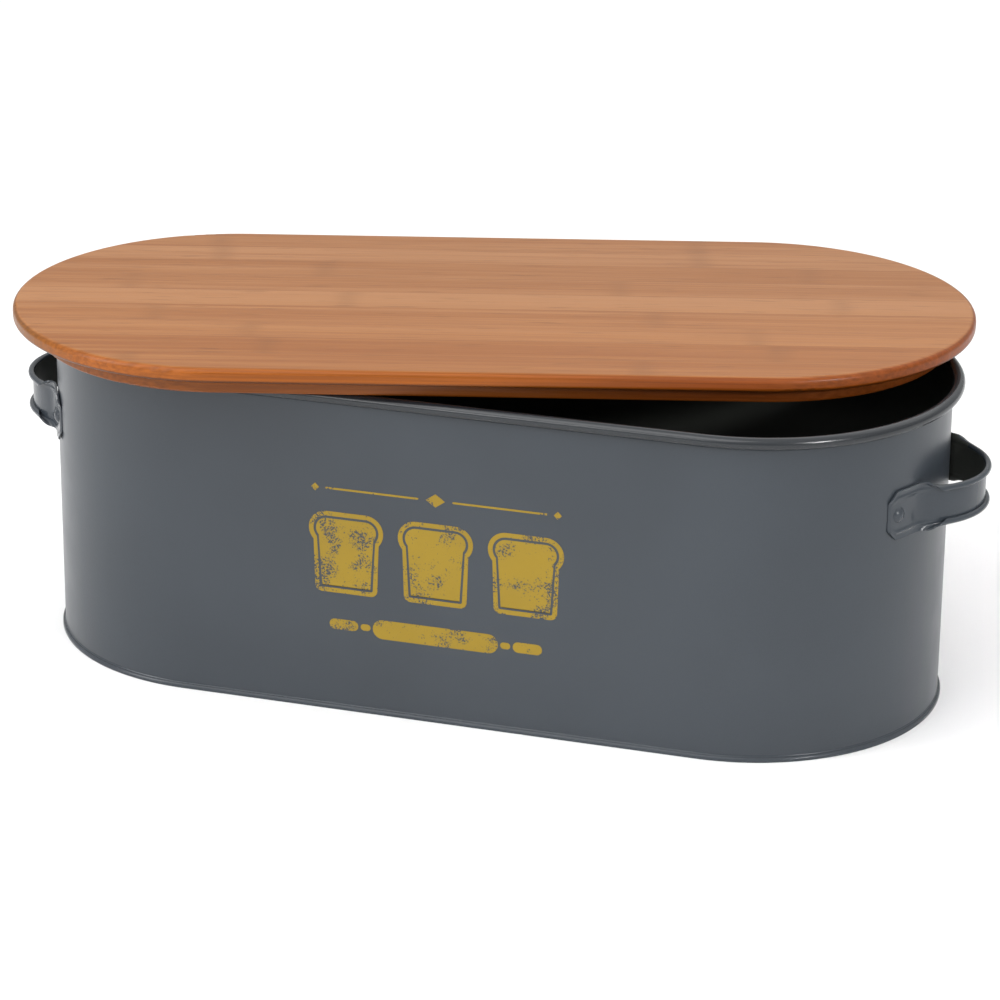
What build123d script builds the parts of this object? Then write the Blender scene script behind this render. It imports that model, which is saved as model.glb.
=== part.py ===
from build123d import *
from math import asin, atan2, degrees, sqrt
import os

# An oblong bread bin of coated sheet steel with two strap handles, and the loose bamboo lid
# that lies askew on its rim. Millimetres and degrees. The origin is the middle of the standing
# ring on the table, +X runs along the bin, the front faces -Y and +Z is up.

# Bin wall and base
bin_length = 400.0  # outside of the wall, end to end
bin_width = 170.0  # outside of the wall, front to back
rim_height = 146.0  # table to the top of the rolled rim
sheet = 0.5  # steel of the wall and the base
curl_diameter = 5.4  # outside of the rolled rim
curl_turn = 295.0  # how far the rim's edge is rolled round, in degrees
hem_reach = 0.7  # how far the wall's folded foot stands out
hem_layers = 3  # sheets on top of each other in the wall's folded foot
seam_clearance = 0.1  # between the wall and the base folded round it
seam_round = 0.55  # outer edges of the fold round the foot
floor_height = 3.0  # table to the underside of the raised floor
lap_width = 9.0  # overlap of the sheet's ends down the back

# Strap handles
strap_thickness = 0.8
strap_height = 17.8  # over both rolled edges
strap_middle_height = 103.5  # table to the middle of the strap
lip_inside_radius = 0.6  # inside of the strap's rolled edges
bow_radius = 32.0  # middle of the strap, round the grip
bow_reach = 16.5  # wall to the middle of the strap at the grip
foot_bend_radius = 14.0  # middle of the strap, where it leaves the wall
handle_clearance = 0.05  # between the tabs and the wall
tab_height = 21.6  # flattened ends of the strap
tab_corner = 4.5  # clipped corners of the tabs
rivet_from_bend = 9.4  # along the wall, from the bend to the rivet
tab_end_from_rivet = 6.0  # along the wall, from the rivet to the tab's end

# Rivets
rivet_diameter = 3.2
rivet_head_diameter = 6.6
rivet_head_height = 1.7
rivet_tail_diameter = 5.6
rivet_tail_height = 1.0
rivet_clearance = 0.1  # round the shank and under the head and the tail

# Lid
lid_overhang = 9.0  # upper board beyond the wall, all round
board_thickness = 6.5
board_top_round = 2.4
board_under_round = 2.0
board_strip_count = 9
plug_thickness = 8.0  # lower board, which locates the lid in the opening
plug_clearance = 1.5  # between the plug and the inside of the wall when the lid is on
plug_round = 1.0  # lower edge of the plug
plug_strip_count = 8
lid_rest_gap = 0.3  # rim to the plug where the lid lies on the rim
lid_turn = 15.6  # the lid's right end is turned to the back
lid_shift_x = -2.9
lid_shift_y = 5.3

overrun = 2.0  # how far cutting shapes run past what they cut

# Sizes and places worked out from those above
end_radius = bin_width / 2
end_centre = bin_length / 2 - end_radius
hem_low = sheet + seam_clearance
hem_high = hem_low + hem_layers * sheet
seam_height = hem_high + seam_clearance + sheet
seam_reach = hem_reach + seam_clearance + sheet
curl_radius = curl_diameter / 2
curl_height = rim_height - curl_radius
curl_out = curl_radius - sheet
lip_radius = lip_inside_radius + strap_thickness


def oblong(offset, low, high):
    """A prism with the wall's outline, moved out by offset, from one height to another."""
    outline = SlotOverall(bin_length + 2 * offset, bin_width + 2 * offset)
    return Pos(0, 0, low) * extrude(outline, high - low)


def oblong_ring(outer, inner, low, high):
    """A wall between two offsets of the outline, cut right through."""
    return oblong(outer, low, high) - oblong(inner, low - overrun, high + overrun)


def turned(profile, centre_x, centre_y, start, stop):
    """A profile of radius and height, turned about an upright axis between two bearings."""
    span = revolve(Plane.XZ * profile, Axis.Z, stop - start)
    return Pos(centre_x, centre_y, 0) * Rot(0, 0, start) * span


def round_the_outline(profile):
    """A profile of radius and height, run along both straight sides and round both ends."""
    straight = 2 * end_centre
    front = Plane((end_centre, 0, 0), x_dir=(0, -1, 0), z_dir=(-1, 0, 0))
    back = Plane((-end_centre, 0, 0), x_dir=(0, 1, 0), z_dir=(1, 0, 0))
    ring = extrude(front * profile, straight) + extrude(back * profile, straight)
    ring += turned(profile, end_centre, 0, -90, 90)
    ring += turned(profile, -end_centre, 0, 90, 270)
    return ring


def curl_profile():
    """The rolled edge, from the top of the straight wall outward, over and back under."""
    centre = (end_radius + curl_out, curl_height)
    outer = CenterArc(centre, curl_radius, 180, -curl_turn)
    inner = CenterArc(centre, curl_radius - sheet, 180, -curl_turn)
    return make_face([outer, inner, Line(outer @ 0, inner @ 0), Line(outer @ 1, inner @ 1)])


def rivet_hole(bearing, radius):
    """A cylinder through the end wall and a tab, along the rivet's axis."""
    length = end_radius + bow_reach
    bore = Cylinder(radius, length, align=(Align.CENTER, Align.CENTER, Align.MIN))
    return Pos(end_centre, 0, strap_middle_height) * Rot(0, 0, bearing) * Rot(0, 90, 0) * bore


def both_ends(solid):
    """A solid of the right end and its twin on the left end."""
    return [solid, Rot(0, 0, 180) * solid]


# Where the strap's middle line bends away from the wall and joins the bow
tab_radius = end_radius + handle_clearance + strap_thickness / 2
bow_centre = end_radius + bow_reach - bow_radius
from_end = tab_radius + foot_bend_radius
from_bow = bow_radius + foot_bend_radius
bend_x = (from_end**2 - from_bow**2 + bow_centre**2) / (2 * bow_centre)
bend_y = sqrt(from_end**2 - bend_x**2)
leave_bearing = degrees(atan2(bend_y, bend_x))
bow_bearing = degrees(atan2(bend_y, bend_x - bow_centre))
rivet_bearing = leave_bearing + degrees(rivet_from_bend / tab_radius)
tab_bearing = rivet_bearing + degrees((tab_end_from_rivet + overrun) / tab_radius)


def strap_profile():
    """The strap's section round the grip: a flat web whose two edges roll to the outward side."""
    web = strap_height / 2 - lip_radius

    def at(out, up):
        return (bow_radius - strap_thickness / 2 + out, strap_middle_height + up)

    edges = [Line(at(face, -web), at(face, web)) for face in (0, strap_thickness)]
    for side in (-1, 1):
        lip_end = lip_radius + lip_radius
        outer_top = at(lip_radius, side * (web + lip_radius))
        inner_top = at(lip_radius, side * (web + lip_inside_radius))
        outer_end = at(lip_end, side * web)
        inner_end = at(lip_end - strap_thickness, side * web)
        edges.append(ThreePointArc(at(0, side * web), outer_top, outer_end))
        edges.append(ThreePointArc(at(strap_thickness, side * web), inner_top, inner_end))
        edges.append(Line(outer_end, inner_end))
    return make_face(edges)


def flat_profile(radius):
    """The strap's section where its edges are flattened."""
    return Pos(radius, strap_middle_height) * Rectangle(strap_thickness, tab_height)


def handle_tab(side):
    """One flattened end of the strap on the wall, with clipped corners and a rivet hole."""
    bearings = sorted((side * leave_bearing, side * tab_bearing))
    shell = turned(flat_profile(tab_radius), end_centre, 0, *bearings)
    half = tab_height / 2
    inner = rivet_from_bend + tab_end_from_rivet
    corners = [
        (-inner, -half),
        (tab_end_from_rivet - tab_corner, -half),
        (tab_end_from_rivet, tab_corner - half),
        (tab_end_from_rivet, half - tab_corner),
        (tab_end_from_rivet - tab_corner, half),
        (-inner, half),
    ]
    outline = make_face(Polyline(*[(side * along, up) for along, up in corners], close=True))
    plane = Plane((tab_radius, 0, 0), x_dir=(0, 1, 0), z_dir=(1, 0, 0))
    blank = extrude(plane * outline, strap_thickness + overrun, both=True)
    blank = Pos(end_centre, 0, strap_middle_height) * Rot(0, 0, side * rivet_bearing) * blank
    hole = rivet_hole(side * rivet_bearing, rivet_diameter / 2 + rivet_clearance)
    return (shell & blank) - hole


def handle():
    """The right handle: a bow, a flattened bend at each side and a tab at each end."""
    strap = turned(strap_profile(), end_centre + bow_centre, 0, -bow_bearing, bow_bearing)
    for side in (-1, 1):
        bearings = sorted((side * (leave_bearing + 180), side * (bow_bearing + 180)))
        bend = flat_profile(foot_bend_radius)
        strap += turned(bend, end_centre + bend_x, side * bend_y, *bearings)
        strap += handle_tab(side)
    return strap


def rivet(bearing):
    """A domed rivet through a tab and the right end wall, upset on the inside."""
    under_head = tab_radius + strap_thickness / 2
    tail_face = end_radius - sheet - rivet_clearance
    tail_end = tail_face - rivet_tail_height
    head_radius = rivet_head_diameter / 2
    shank = rivet_diameter / 2
    dome_radius = (head_radius**2 + rivet_head_height**2) / (2 * rivet_head_height)
    dome_centre = under_head + rivet_head_height - dome_radius
    dome = CenterArc((dome_centre, 0), dome_radius, 0, degrees(asin(head_radius / dome_radius)))
    tail_radius = rivet_tail_diameter / 2
    outline = Polyline(
        dome @ 1,
        (under_head, shank),
        (tail_face, shank),
        (tail_face, tail_radius),
        (tail_end, tail_radius),
        (tail_end, 0),
        dome @ 0,
    )
    body = revolve(make_face([dome, outline]), Axis.X)
    return Pos(end_centre, 0, strap_middle_height) * Rot(0, 0, bearing) * body


def bin_wall():
    """The bent sheet with its rolled rim, doubled foot, back lap and rivet holes."""
    wall = oblong_ring(0, -sheet, hem_low, curl_height)
    wall += oblong_ring(hem_reach, -sheet, hem_low, hem_high)
    wall += round_the_outline(curl_profile())
    lap_low = seam_height + seam_clearance
    lap_high = curl_height - curl_radius - seam_clearance
    lap = Box(lap_width, sheet, lap_high - lap_low, align=(Align.CENTER, Align.MIN, Align.MIN))
    wall += Pos(0, end_radius, lap_low) * lap
    for side in (-1, 1):
        hole = rivet_hole(side * rivet_bearing, rivet_diameter / 2 + rivet_clearance)
        for end_hole in both_ends(hole):
            wall -= end_hole
    return wall


def base_pan():
    """The raised floor, its upright rim inside the wall and its fold round the wall's foot."""
    rim_out = -sheet - seam_clearance
    rim_in = rim_out - sheet
    fold = oblong(seam_reach, 0, seam_height)
    outline = fold.faces().filter_by(Axis.Z).edges()
    fold = fillet(outline, seam_round)
    fold -= oblong(rim_in, -overrun, seam_height + overrun)
    fold -= oblong_ring(hem_reach + seam_clearance, rim_out, sheet, seam_height - sheet)
    fold -= oblong_ring(seam_clearance, rim_out, sheet, seam_height + overrun)
    tray = oblong(rim_out, 0, floor_height + sheet) - oblong(rim_in, -overrun, floor_height)
    return fold + tray


def strips(board, width, count):
    """A board cut along its length into equal strips, front to back."""
    strip = width / count
    long = 2 * (bin_length + lid_overhang)
    tall = 2 * (board_thickness + plug_thickness)
    for index in range(count):
        middle = (2 * index + 1 - count) * strip / 2
        yield board & (Pos(0, middle, 0) * Box(long, strip, tall))


def on_the_rim(solid):
    """A solid of the lid, moved from the middle of the opening to where it lies on the rim."""
    return Pos(lid_shift_x, lid_shift_y, rim_height + lid_rest_gap) * Rot(0, 0, lid_turn) * solid


def upper_board():
    """The rounded board that covers the rim, above the plug."""
    board = oblong(lid_overhang, plug_thickness, plug_thickness + board_thickness)
    top = board.faces().sort_by(Axis.Z)[-1]
    board = fillet(top.edges(), board_top_round)
    under = board.faces().sort_by(Axis.Z)[0]
    return fillet(under.edges(), board_under_round)


def lower_board():
    """The plug that fits in the opening."""
    plug = oblong(-sheet - plug_clearance, 0, plug_thickness)
    under = plug.faces().sort_by(Axis.Z)[0]
    return fillet(under.edges(), plug_round)


def main():
    os.makedirs("parts", exist_ok=True)
    nodes = {"bin_wall": bin_wall(), "base_pan": base_pan()}
    right, left = both_ends(handle())
    nodes["right_handle"] = right
    nodes["left_handle"] = left
    rivets = []
    for side in (-1, 1):
        rivets += both_ends(rivet(side * rivet_bearing))
    nodes["handle_rivets"] = Compound(rivets)
    board_width = bin_width + 2 * lid_overhang
    for index, strip in enumerate(strips(upper_board(), board_width, board_strip_count), 1):
        nodes[f"board_strip_{index}"] = on_the_rim(strip)
    plug_width = bin_width - 2 * (sheet + plug_clearance)
    for index, strip in enumerate(strips(lower_board(), plug_width, plug_strip_count), 1):
        nodes[f"plug_strip_{index}"] = on_the_rim(strip)
    for name, solid in nodes.items():
        export_step(solid, f"parts/{name}.step")


main()
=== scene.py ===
import math

import bmesh
import bpy
from bpy.props import FloatProperty, FloatVectorProperty, PointerProperty
from mathutils import Matrix, Vector


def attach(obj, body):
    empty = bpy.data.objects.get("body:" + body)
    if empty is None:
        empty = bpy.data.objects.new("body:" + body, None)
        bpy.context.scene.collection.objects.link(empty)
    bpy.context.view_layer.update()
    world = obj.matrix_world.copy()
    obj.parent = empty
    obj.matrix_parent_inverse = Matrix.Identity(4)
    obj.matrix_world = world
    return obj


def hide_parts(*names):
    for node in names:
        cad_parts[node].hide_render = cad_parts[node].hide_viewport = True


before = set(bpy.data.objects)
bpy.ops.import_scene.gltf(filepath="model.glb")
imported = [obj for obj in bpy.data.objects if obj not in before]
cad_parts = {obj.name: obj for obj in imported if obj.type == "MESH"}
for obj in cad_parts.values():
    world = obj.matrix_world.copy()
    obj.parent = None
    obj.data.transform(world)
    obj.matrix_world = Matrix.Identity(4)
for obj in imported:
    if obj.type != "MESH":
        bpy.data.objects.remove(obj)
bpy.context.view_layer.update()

bl_info = {
    "name": "Bread bin finish",
    "version": (1, 0, 0),
    "blender": (4, 5, 0),
    "location": "View3D > Sidebar > Bread bin",
    "description": "Coats the steel, rolls the handles, prints the front and grains the lid of a bread bin",
    "category": "Object",
}

BOARD_STRIPS = [f"board_strip_{place}" for place in range(1, 10)]
PLUG_STRIPS = [f"plug_strip_{place}" for place in range(1, 9)]

# Material slots of the steel pieces: the grey coat, the black of painted shade, and the rim's coat
COAT, SHADE_BLACK, RIM_COAT = 0, 1, 2

# Steps of the round shapes: the bin's ends, the rim, the strap across and along, and the print
END_STEPS = 72
CURL_STEPS = 40
WEB_STEPS, ROLL_STEPS = 12, 18
BOW_STEPS, BEND_STEPS, TAB_STEPS = 48, 20, 48
ARC_STEPS, CORNER_STEPS, LOBE_STEPS = 10, 6, 14

# Faces that meet at a larger angle have a sharp edge between them
SHARP_ANGLE = math.radians(50.0)

# A strap's edge is never quite flat, so that its roll has a radius
LEAST_TURN = 0.001

# How far the crown of a printed slice runs down past the side of its lobes, in degrees
LOBE_TURN = 42

# Sockets of a node that mixes colours
MIX_FACTOR, MIX_FIRST, MIX_SECOND, MIX_RESULT = 0, 6, 7, 2

# Values between which most of a noise lies, and those where clouds, worn patches and dashes set in
NOISE_LOW, NOISE_HIGH = 0.3, 0.7
FIBRE_LOW, FIBRE_HIGH = 0.25, 0.75
MOTTLE_STRETCH = (0.35, 0.65)
PATCH_STRETCH = (0.35, 0.7)
DASH_STRETCH = (0.60, 0.78)

# Noises of the finishes, in waves to the metre
COAT_CLOUDS, COAT_FLECKS, COAT_SHEEN = 14.0, 2400.0, 55.0
SHADE_BLACK_CLOUDS = 30.0
WORN_PATCHES, WORN_SPECKLES, INK_CLOUDS = 70.0, 1150.0, 45.0
FLOOR_CLOUDS = 3.0

# Darkest and lightest tone of each finish, as shares of its colour
COAT_TONES = (0.93, 1.07)
SHADE_BLACK_TONES = (0.8, 1.5)
INK_TONES = (0.88, 1.1)
EDGE_TONES = (0.68, 1.08)
FLOOR_TONES = (0.99, 1.0)

# Share of the clouds in the coat's mottle, beside the flecks
CLOUD_SHARE = 0.6

# Waves over the strips' numbers: step from one strip to the next, and start, in radians
TONE_WAVES = ((5.19, 5.45), (3.74, 6.06))
KNUCKLE_WAVE = (2.6, 0.9)

# The broad streaks of the bamboo are this many fibres wide
STREAK_FIBRES = 4

# Upward part of a normal, where the cut edge turns into the top, and where the painted shade of the downward
# faces fades into the edge
CUT_LEAN = (0.80, 0.985)
UNDER_SHADE_LEAN = (-0.7, -0.05)

# Lights: place, and width and height of the panel
LIGHTS = {
    "back_light": ((0.50, 1.10, 1.50), (2.4, 1.2)),
    "top_light": ((-0.50, -0.85, 1.45), (1.8, 1.0)),
    "left_light": ((-1.1, -0.9, 0.7), (0.6, 0.9)),
    "front_glint": ((-0.42, -1.50, 0.70), (0.35, 0.25)),
    "side_glint": ((1.33, -0.93, 0.72), (0.50, 0.12)),
}

# Point by the bin's right end that the side glint faces
RIGHT_END = (0.230, -0.05, 0.100)


# Settings


def length(name, default, description):
    """A length in metres."""
    return FloatProperty(name=name, description=description, default=default, unit="LENGTH", precision=5)


def angle(name, degrees, description):
    """An angle, given in degrees and kept in radians."""
    return FloatProperty(name=name, description=description, default=math.radians(degrees), subtype="ANGLE")


def share(name, default, description):
    """A plain number, mostly from 0 to 1."""
    return FloatProperty(name=name, description=description, default=default, subtype="FACTOR", soft_max=1.0)


def number(name, default, description):
    """A plain number with no unit."""
    return FloatProperty(name=name, description=description, default=default)


def colour(name, default, description):
    """A colour in linear light."""
    return FloatVectorProperty(
        name=name, description=description, default=default, subtype="COLOR", min=0.0, max=1.0
    )


class SteelSettings(bpy.types.PropertyGroup):
    """The coated sheet of the wall, the base, the handles and the rivets."""

    bin_length: length("Bin length", 0.400, "Outside of the wall, end to end")
    bin_width: length("Bin width", 0.170, "Outside of the wall, front to back")
    rim_height: length("Rim height", 0.146, "Table to the top of the rolled rim")
    sheet: length("Sheet", 0.0005, "Steel of the wall and the base")
    curl_diameter: length("Curl diameter", 0.0054, "Outside of the rolled rim")
    curl_turn: angle("Curl turn", 295.0, "How far the rim's edge is rolled round")
    # Painted shade: the black of the inside runs this far over the rolled rim
    rim_shade_black: angle("Rim lacquer", 18.0, "How far the lacquer of the inside runs over the rolled rim")
    hem_low: length("Hem low", 0.0006, "Table to the wall's foot")
    hem_high: length("Hem high", 0.0021, "Table to the top of the wall's folded foot")
    hem_reach: length("Hem reach", 0.0007, "How far the folded foot stands out")
    lap_width: length("Lap width", 0.009, "Overlap of the sheet's ends down the back")
    lap_low: length("Lap low", 0.0032, "Table to the foot of the overlap")
    lap_high: length("Lap high", 0.1405, "Table to the top of the overlap")
    seam_height: length("Seam height", 0.0027, "Table to the top of the base's fold round the foot")
    seam_reach: length("Seam reach", 0.0013, "How far the fold stands out from the wall")
    seam_clearance: length("Seam clearance", 0.0001, "Between the wall and the fold")
    seam_hollow: length("Seam hollow", 0.00095, "Hollow of the coat between the wall and the fold")
    seam_slope: angle("Seam slope", 65.0, "Steepest lean of the coat between that hollow and the fold")
    seam_foot_round: length("Seam foot round", 0.0004, "Lower edge of the fold")
    floor_height: length("Floor height", 0.003, "Table to the underside of the raised floor")
    grey: colour("Grey", (0.0352, 0.0423, 0.0512), "Satin coat on the outside")
    # Painted shade: this black stands in for the deep shade inside the bin and behind the straps
    black: colour("Black", (0.032, 0.034, 0.030), "Lacquer on the inside")
    gloss: share("Coat roughness", 0.31, "Roughness of the satin coat")
    rolled_gloss: share("Rolled roughness", 0.22, "Roughness of the coat where the sheet is rolled")
    gloss_change: share("Roughness change", 0.02, "How far the coat's roughness goes up and down")
    mirror: share("Coat mirror", 0.4, "Reflection of the satin coat")
    rim_mirror: share("Rim mirror", 0.55, "Reflection of the coat on the rolled rim")
    rim_body: share("Rim body", 0.40, "Share of the grey that shows on the rolled rim")
    black_roughness: share("Lacquer roughness", 0.55, "Roughness of the black lacquer")
    black_change: share("Lacquer change", 0.05, "How far the lacquer's roughness goes up and down")
    black_mirror: share("Lacquer mirror", 0.35, "Reflection of the black lacquer")
    peel_depth: length("Peel depth", 0.000012, "Height of the coat's orange peel")
    peel_size: length("Peel size", 0.0011, "Width of one dimple of the orange peel")
    ripple_depth: length("Ripple depth", 0.00006, "Height of the sheet's slow ripples")
    ripple_size: length("Ripple size", 0.075, "Width of one slow ripple of the sheet")


class HandleSettings(bpy.types.PropertyGroup):
    """The strap handles on the two ends."""

    strap_thickness: length("Strap thickness", 0.0008, "Steel of the strap")
    strap_height: length("Strap height", 0.0178, "Over both rolled edges")
    middle_height: length("Middle height", 0.1035, "Table to the middle of the strap")
    roll_radius: length("Roll radius", 0.00098, "Middle of the sheet in the rolled edges")
    roll_turn: angle("Roll turn", 295.0, "How far the strap's edges are rolled round the grip")
    # Painted shade: the black on the straps' wall side, and how far it runs up the edges
    shade_black_turn: angle("Lacquer turn", 65.0, "How far the lacquer runs up the edges that begin to roll")
    shade_black_limit: share("Lacquer limit", 0.85, "Share of the roll past which it stays off the edges")
    bow_radius: length("Bow radius", 0.032, "Middle of the strap round the grip")
    bow_reach: length("Bow reach", 0.0165, "Wall to the middle of the strap at the grip")
    bend_radius: length("Bend radius", 0.014, "Middle of the strap where it leaves the wall")
    clearance: length("Clearance", 0.00005, "Between the tabs and the wall")
    tab_height: length("Tab height", 0.0216, "Flattened ends of the strap")
    tab_corner: length("Tab corner", 0.0045, "Clipped corners of the tabs")
    tab_taper: length("Tab taper", 0.0012, "Stretch in which the tab thins out at its end")
    end_thickness: share("End thickness", 0.3, "Share of the strap's thickness that is left there")
    rivet_from_bend: length("Rivet from bend", 0.0094, "Along the wall, from the bend to the rivet")
    end_from_rivet: length("End from rivet", 0.006, "Along the wall, from the rivet to the tab's end")
    lip_start: length("Lip start", 0.003, "Along the strap, from the wall to where its edges begin to roll")
    lip_run: length("Lip run", 0.018, "Along the strap, from there to the fully rolled edge")
    flat_roll: share("Flat roll", 0.045, "Share of the roll that is left on the flattened tabs")
    ridge_height: length("Ridge height", 0.00050, "Crease of the flattened edge on the tab")
    ridge_width: length("Ridge width", 0.0008, "Half the width of that crease")


class PrintSettings(bpy.types.PropertyGroup):
    """The gold print on the front of the wall."""

    gold: colour("Gold", (0.262, 0.169, 0.007), "Ink of the print")
    roughness: share("Ink roughness", 0.46, "Roughness of the ink")
    roughness_change: share("Ink change", 0.04, "How far the ink's roughness goes up and down")
    mirror: share("Ink mirror", 0.4, "Reflection of the ink")
    least_wear: share("Least wear", 0.30, "Level of the speckles below which the best patches are bare")
    most_wear: share("Most wear", 0.51, "Level of the speckles below which the worst patches are bare")
    ink: length("Ink", 0.00005, "Thickness of the ink on the coat")
    width: length("Print width", 0.113, "Over the three slices")
    middle_height: length("Middle height", 0.0727, "Table to the middle of the slices")
    slice_height: length("Slice height", 0.037, "A slice of bread, foot to crown")
    slice_gap: length("Slice gap", 0.0065, "Between two slices")
    slice_lobe: share("Slice lobe", 0.24, "Radius of the crown's lobes, as a share of the slice's width")
    slice_side: share("Slice side", 0.42, "Middle to side below the crown, as a share of the width")
    slice_corner: share("Slice corner", 0.09, "Radius of the foot's corners, as a share of the width")
    crust: length("Crust", 0.0021, "Width of the crust's line")
    crust_gap: length("Crust gap", 0.0011, "Between the crust's line and the crumb")
    rule_rise: length("Rule rise", 0.0105, "Crown of the slices to the rule")
    rule_length: length("Rule length", 0.042, "Each half of the rule")
    rule_width: length("Rule width", 0.0009, "Line of the rule")
    rule_place: length("Rule place", 0.0285, "Middle of the print to the middle of each half")
    lozenge_length: length("Lozenge length", 0.0085, "Lozenge between the halves, along the rule")
    lozenge_width: length("Lozenge width", 0.0060, "Lozenge between the halves, across the rule")
    end_lozenge: length("End lozenge", 0.0036, "Small lozenges at the ends of the rule")
    end_place: length("End place", 0.0535, "Middle of the print to the small lozenges")
    pin_drop: length("Pin drop", 0.0145, "Foot of the slices to the middle of the rolling pin")
    pin_length: length("Pin length", 0.056, "Roller of the pin")
    pin_width: length("Pin width", 0.0088, "Roller of the pin, across")
    neck_length: length("Neck length", 0.0045, "Between the roller and each grip")
    neck_width: length("Neck width", 0.0030, "Necks, across")
    neck_place: length("Neck place", 0.0312, "Middle of the print to the necks")
    grip_length: length("Grip length", 0.0130, "Each grip of the pin")
    grip_width: length("Grip width", 0.0048, "Grips, across")
    grip_place: length("Grip place", 0.0410, "Middle of the print to the grips")


class BambooSettings(bpy.types.PropertyGroup):
    """The two boards of the lid."""

    turn: angle("Turn", 15.6, "How far the lid's right end is turned to the back")
    shift_x: length("Shift along", -0.0029, "The lid's middle from the bin's, along the bin")
    shift_y: length("Shift across", 0.0053, "The lid's middle from the bin's, across the bin")
    board_width: length("Board width", 0.188, "Upper board, front to back")
    plug_width: length("Plug width", 0.166, "Lower board, front to back")
    pale: colour("Pale", (0.388, 0.178, 0.0695), "Lightest strip")
    brown: colour("Brown", (0.278, 0.0966, 0.0175), "Darkest strip")
    strip_tone: share("Strip tone", 0.54, "Tone of a middling strip, from brown to pale")
    strip_contrast: share("Strip contrast", 0.175, "How much the strips differ in tone")
    streak_contrast: share("Streak contrast", 0.16, "How much the broad streaks change the tone")
    fibre_contrast: share("Fibre contrast", 0.26, "How much the fine fibres change the tone")
    dark_tone: share("Dark tone", 0.5, "Dashes and knuckles, as a share of the brown")
    dash_strength: share("Dash strength", 0.45, "How dark the short fibres are")
    # Painted reflection: the front strips are tinted warmer, leaving the strips behind paler, like the sheen
    # of the light behind
    front_sheenless: colour("Warm", (0.97, 0.87, 0.66), "Tint of the strips at the front")
    sheenless_share: share("Warm share", 0.75, "Share of the strips over which that tint fades out")
    edge: colour("Edge", (0.318, 0.079, 0.003), "Cut edges of the boards")
    edge_strength: share("Edge strength", 0.9, "How much of that colour the cut edges take")
    # Painted shade: the cut edges grow darker towards the right end, where less light falls
    right_end_shade: colour("Deep", (0.72, 0.58, 0.50), "Tint of the cut edges towards the right end")
    right_end_shade_from: length("Deep from", -0.03, "Along the lid, where that tint sets in")
    right_end_shade_to: length("Deep to", 0.10, "Along the lid, where that tint is full")
    dull: colour("Dull", (0.56, 0.74, 1.0), "Tint of the edges at the left end")
    dull_from: length("Dull from", -0.16, "Along the lid, where that tint sets in")
    dull_to: length("Dull to", -0.205, "Along the lid, where that tint is full")
    # Painted shade: faces that look down take the edge's colour, darkened, for the shade under the boards
    under_shade_strength: share("Under strength", 0.85, "How much of the edge's colour the undersides take")
    board_under_shade: share("Board under", 0.2, "Tone of the upper board's underside")
    # Painted shade: the lower board is darkened for the shade under the upper board's overhang
    plug_shade_tone: share("Plug tone", 0.68, "Tone of the lower board's edge and underside")
    glue: colour("Glue", (0.15, 0.045, 0.008), "Thin lines between the strips")
    glue_width: length("Glue width", 0.0003, "Half the width of a joint's line")
    glue_strength: share("Glue strength", 0.6, "How dark the joints are")
    roughness_low: share("Least roughness", 0.29, "Roughness of the oiled wood in the fibres' hollows")
    roughness_high: share("Most roughness", 0.43, "Roughness of the oiled wood on the fibres' crests")
    mirror: share("Wood mirror", 0.28, "Reflection of the oiled wood")
    fibre_width: length("Fibre width", 0.0014, "Across one fibre")
    fibre_length: length("Fibre length", 0.12, "Along one fibre")
    fibre_depth: length("Fibre depth", 0.00004, "Height of the fibres in the surface")
    fibre_offset: length("Fibre offset", 0.37, "How far the fibres are moved from one strip to the next")
    dash_length: length("Dash length", 0.022, "Along one of the short dark fibres")
    knuckle_spacing: length("Knuckle spacing", 0.215, "Along a strip, from one knuckle to the next")
    knuckle_stagger: length("Knuckle stagger", 0.05, "How far the strips' knuckles lie apart")
    knuckle_ragged: length("Knuckle ragged", 0.008, "How far the fibres pull a knuckle's line")
    knuckle_width: length("Knuckle width", 0.009, "Half the width of a knuckle's shade")
    knuckle_shade: share("Knuckle shade", 0.34, "How dark a knuckle's shade is")
    knuckle_line: length("Knuckle line", 0.0008, "Half the width of a knuckle's line")
    knuckle_mark: share("Knuckle mark", 0.2, "How dark a knuckle's line is")


class StageSettings(bpy.types.PropertyGroup):
    """The floor, the lights and the camera."""

    floor_size: length("Floor size", 6.0, "Side of the floor")
    floor_white: colour("Floor white", (0.93, 0.93, 0.93), "Colour of the floor")
    floor_roughness: share("Floor roughness", 0.9, "Roughness of the floor")
    floor_mirror: share("Floor mirror", 0.2, "Reflection of the floor")
    surround_low: number("Surround low", 0.45, "Strength of the white surround at the height of the table")
    surround_high: number("Surround high", 1.13, "Strength of the white surround overhead")
    back_power: number("Back light", 5.0, "Watts of the light behind the bin")
    top_power: number("Top light", 12.0, "Watts of the light over the front of the bin")
    left_power: number("Left light", 8.5, "Watts of the light on the left")
    front_glint_power: number("Front glint", 2.2, "Watts of the small light for the front rim's shine")
    side_glint_power: number("Side glint", 0.16, "Watts of the small light for the end rim's shine")
    side_glint_spread: angle("Side glint spread", 12.5, "Width of that light's beam, on the right end")
    camera_lens: number("Lens", 138.6, "Focal length of the camera in millimetres")
    camera_sensor: number("Sensor", 36.0, "Width of the camera's sensor in millimetres")
    camera_round: angle("Camera azimuth", 17.0, "Camera's way round to the right of the front")
    camera_height: angle("Camera elevation", 21.42, "Camera's angle above the table")
    camera_roll: angle("Camera roll", 0.52, "Turn of the camera about its own line of sight")
    camera_distance: length("Camera distance", 1.70108, "Camera to the point that it looks at")
    look_right: length("Look right", 0.00223, "Point that the camera looks at, to the right")
    look_up: length("Look up", 0.07051, "Point that the camera looks at, above the table")


class BreadBinSettings(bpy.types.PropertyGroup):
    """All settings of the bread bin."""

    steel: PointerProperty(type=SteelSettings)
    handles: PointerProperty(type=HandleSettings)
    front_print: PointerProperty(type=PrintSettings)
    bamboo: PointerProperty(type=BambooSettings)
    stage: PointerProperty(type=StageSettings)


# Materials


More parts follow.
